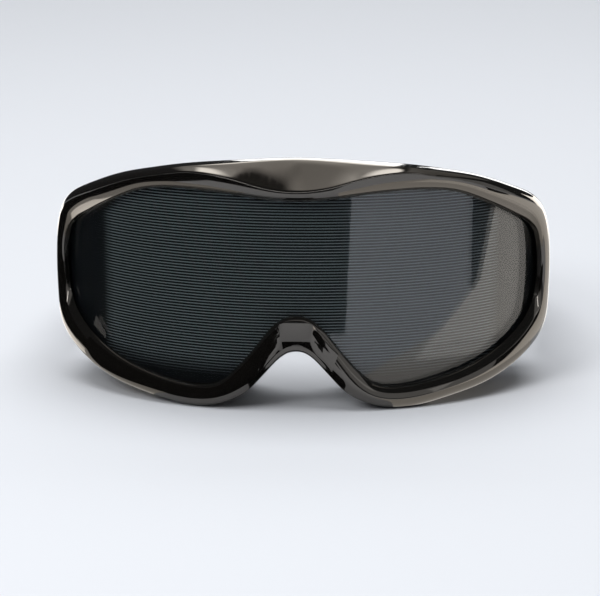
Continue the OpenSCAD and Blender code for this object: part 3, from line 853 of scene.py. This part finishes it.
class GOGGLES_OT_pivots(bpy.types.Operator):
    """Finishes the lugs, clips, pins, washers and sliders with rounded corners"""

    bl_idname = "goggles.pivots"
    bl_label = "Pivots and sliders"

    def execute(self, context):
        settings = context.scene.goggles
        colour = tuple(settings.frame_colour)
        gloss = gloss_plastic("lug_gloss_black", colour, settings.frame_roughness)
        satin = satin_plastic("clip_satin_black", (0.018, 0.018, 0.019))
        steel = turned_steel("pin_steel", (0.55, 0.55, 0.56))
        # Body, material slot, finish, and radius of the rounded corners in millimetres
        kinds = {
            "strap_lug": ("goggle", "lug_plastic", gloss, 0.5),
            "strap_clip": ("head_strap", "clip_plastic", satin, 0.45),
            "pivot_pin": ("goggle", "pin_steel", steel, 0.3),
            "pivot_washer": ("goggle", "pin_steel", steel, 0.12),
            "strap_slider": ("slider", "slider_plastic", satin, 0.4),
        }
        for side in SIDES:
            for kind, (body, slot, finish, radius) in kinds.items():
                if body == "slider":
                    body = f"slider_{side}"
                node = f"{kind}_{side}"
                piece = piece_from(flat_sided_copy(node), f"{node}_part", body, [node])
                bevel(piece, radius * MM)
                cover(piece, finish)
        return {"FINISHED"}


def turned_down(point):
    """A point of the level strap, turned down about the pivot to where the strap rests."""
    return PIVOT + Matrix.Rotation(-DROP, 3, "X") @ (point - PIVOT)


def band_outline(thickness, ribs=18, relief=0.12 * MM):
    """The webbing's cross-section: side and height of points round it, with lengthwise ribs."""
    half = thickness / 2
    edge = 0.35 * MM
    columns = ribs * 4
    front = []
    for i in range(columns + 1):
        share = i / columns
        height = (share - 0.5) * (STRAP_WIDTH - 2 * edge)
        dip = relief * (0.5 - 0.5 * math.cos(2 * math.pi * ribs * share))
        front.append((half - relief + dip, height))
    back = [(-side, height) for side, height in reversed(front)]
    return front + [(0, STRAP_WIDTH / 2)] + back + [(0, -STRAP_WIDTH / 2)]


def webbing(name, path, body, replaced, finish):
    """Sweeps the webbing's section on edge along a level path of x, y and thickness."""
    bm = bmesh.new()
    uv = bm.loops.layers.uv.new("UVMap")
    rows = []
    length = 0
    lengths = []
    for i, (x, y, thickness) in enumerate(path):
        before = path[max(0, i - 1)]
        after = path[min(len(path) - 1, i + 1)]
        along = Vector((after[0] - before[0], after[1] - before[1], 0)).normalized()
        across = Vector((along.y, -along.x, 0))
        if i:
            length += math.dist(path[i - 1][:2], path[i][:2])
        lengths.append(length)
        row = []
        for side, height in band_outline(thickness):
            point = Vector((x, y, PIVOT.z + height)) + across * side
            row.append(bm.verts.new(turned_down(point)))
        rows.append(row)
    count = len(rows[0])
    for i in range(len(rows) - 1):
        for j in range(count):
            k = (j + 1) % count
            face = bm.faces.new([rows[i][j], rows[i + 1][j], rows[i + 1][k], rows[i][k]])
            near, far = lengths[i], lengths[i + 1]
            spots = [(near, j), (far, j), (far, j + 1), (near, j + 1)]
            for loop, (u, v) in zip(face.loops, spots):
                loop[uv].uv = (u, v * STRAP_WIDTH / (count / 2))
    bm.faces.new(rows[0])
    bm.faces.new(list(reversed(rows[-1])))
    bmesh.ops.recalc_face_normals(bm, faces=bm.faces)
    piece = piece_from(bm, name, body, replaced)
    piece.data.set_sharp_from_angle(angle=math.radians(60))
    cover(piece, finish)


class GOGGLES_OT_strap(bpy.types.Operator):
    """Weaves the elastic strap round the back of the head and its ends round the clips"""

    bl_idname = "goggles.strap"
    bl_label = "Strap"

    thickness = 1.6 * MM
    run_x = 82 * MM
    run_start = -6 * MM
    run_end = 50 * MM
    back_y = 119.2 * MM
    layer_gap = 0.3 * MM
    hem_start = 40 * MM
    hem_end = 48 * MM

    def execute(self, context):
        colour = tuple(context.scene.goggles.strap_colour)
        finish = elastic_webbing("elastic_weave", colour, 0.7 * MM)
        webbing("head_webbing", self.loop_path(), "head_strap", ["strap"], finish)
        for side, sign in SIDES.items():
            path = [(x * sign, y, t) for x, y, t in self.end_path()]
            webbing(f"strap_fold_{side}", path, "head_strap", [f"strap_end_{side}"], finish)
        self.sew_hems(colour)
        return {"FINISHED"}

    def sew_hems(self, colour):
        """Two rows of thread across each hem, half sunk in its outer face."""
        thread = soft_rubber("sewing_thread", tuple(c * 1.6 + 0.01 for c in colour), 0.7)
        pitch, length, radius = 2.6 * MM, 1.9 * MM, 0.28 * MM
        first_row, last_row = self.hem_start + 1.6 * MM, self.hem_end - 1.8 * MM
        stitches = int((STRAP_WIDTH - 2 * pitch) / pitch)
        face_x = self.run_x + 2.5 * self.thickness + self.layer_gap
        for side, sign in SIDES.items():
            bm = bmesh.new()
            for y in (first_row, last_row):
                for i in range(stitches + 1):
                    z = PIVOT.z + (i - stitches / 2) * pitch
                    place = turned_down(Vector((sign * face_x, y, z)))
                    turn = Matrix.Rotation(-DROP, 4, "X")
                    shape = Matrix.Diagonal((radius, radius, length / 2, 1))
                    pose = Matrix.Translation(place) @ turn @ shape
                    bmesh.ops.create_uvsphere(
                        bm, u_segments=10, v_segments=8, radius=1, matrix=pose
                    )
            row = piece_from(bm, f"hem_thread_{side}", "head_strap")
            cover(row, thread)

    def loop_path(self):
        """Two straight runs and a half ellipse round the back."""
        t = self.thickness
        depth = self.back_y - self.run_end
        steps, run_steps = 72, 8
        run = self.run_end - self.run_start
        ys = [self.run_start + run * i / run_steps for i in range(run_steps)]
        bend = []
        for i in range(steps + 1):
            angle = math.pi * i / steps
            bend.append((self.run_x * math.cos(angle), self.run_end + depth * math.sin(angle), t))
        return [(self.run_x, y, t) for y in ys] + bend + [(-self.run_x, y, t) for y in reversed(ys)]

    def eased_run(self, first, last):
        """Points from one place of x and y to another, whose x starts and ends slowly."""
        steps = 12
        points = []
        for i in range(steps + 1):
            share = i / steps
            ease = share * share * (3 - 2 * share)
            x = first[0] + (last[0] - first[0]) * ease
            points.append((x, first[1] + (last[1] - first[1]) * share, self.thickness))
        return points

    def end_path(self):
        """Forward inside the clip, out through its slot and back outside it to the hem."""
        t = self.thickness
        gap = self.layer_gap
        clip_in, clip_out = 81.7 * MM, 84.2 * MM
        inner = clip_in - gap - t / 2
        outer = clip_out + gap + t / 2
        tail = self.run_x + t + gap
        bar_front = -22.0 * MM
        bend = 1.5 * MM
        bend_y = bar_front - gap - t / 2 + bend
        fold_end = -16 * MM
        path = self.eased_run((self.run_x, self.run_start), (inner, fold_end))
        for centre, start in ((inner + bend, 180), (outer - bend, 270)):
            for turn in range(0, 91, 15):
                angle = math.radians(start + turn)
                y = bend_y + bend * math.sin(angle)
                path.append((centre + bend * math.cos(angle), y, t))
        path += self.eased_run((outer, fold_end), (tail, self.run_start))
        straight, steps = self.hem_start - MM - self.run_start, 5
        for i in range(1, steps + 1):
            path.append((tail, self.run_start + straight * i / steps, t))
        path.append((tail + t / 2, self.hem_start, 2 * t))
        path.append((tail + t / 2, self.hem_end - 0.4 * MM, 2 * t))
        path.append((tail + t / 2, self.hem_end, 1.4 * t))
        return path


class GOGGLES_PT_panel(bpy.types.Panel):
    """Lists the goggles' pieces in the 3D view's sidebar"""

    bl_label = "Goggles"
    bl_idname = "GOGGLES_PT_panel"
    bl_space_type = "VIEW_3D"
    bl_region_type = "UI"
    bl_category = "Goggles"

    def draw(self, context):
        layout = self.layout
        settings = context.scene.goggles
        for name in settings.__annotations__:
            layout.prop(settings, name)
        for step in STEPS:
            layout.operator(step.bl_idname)


STEPS = (
    GOGGLES_OT_stage,
    GOGGLES_OT_front_frame,
    GOGGLES_OT_lens_stack,
    GOGGLES_OT_face_seal,
    GOGGLES_OT_pivots,
    GOGGLES_OT_strap,
)
CLASSES = (GogglesSettings, *STEPS, GOGGLES_PT_panel)


def register():
    """Registers the classes and hangs the settings on the scene."""
    for cls in CLASSES:
        bpy.utils.register_class(cls)
    bpy.types.Scene.goggles = bpy.props.PointerProperty(type=GogglesSettings)


def unregister():
    """Takes the settings and the classes away again."""
    del bpy.types.Scene.goggles
    for cls in reversed(CLASSES):
        bpy.utils.unregister_class(cls)


def main():
    """Builds the whole scene."""
    register()
    for step in ("stage", "front_frame", "lens_stack", "face_seal", "pivots", "strap"):
        getattr(bpy.ops.goggles, step)()


if __name__ == "__main__":
    main()
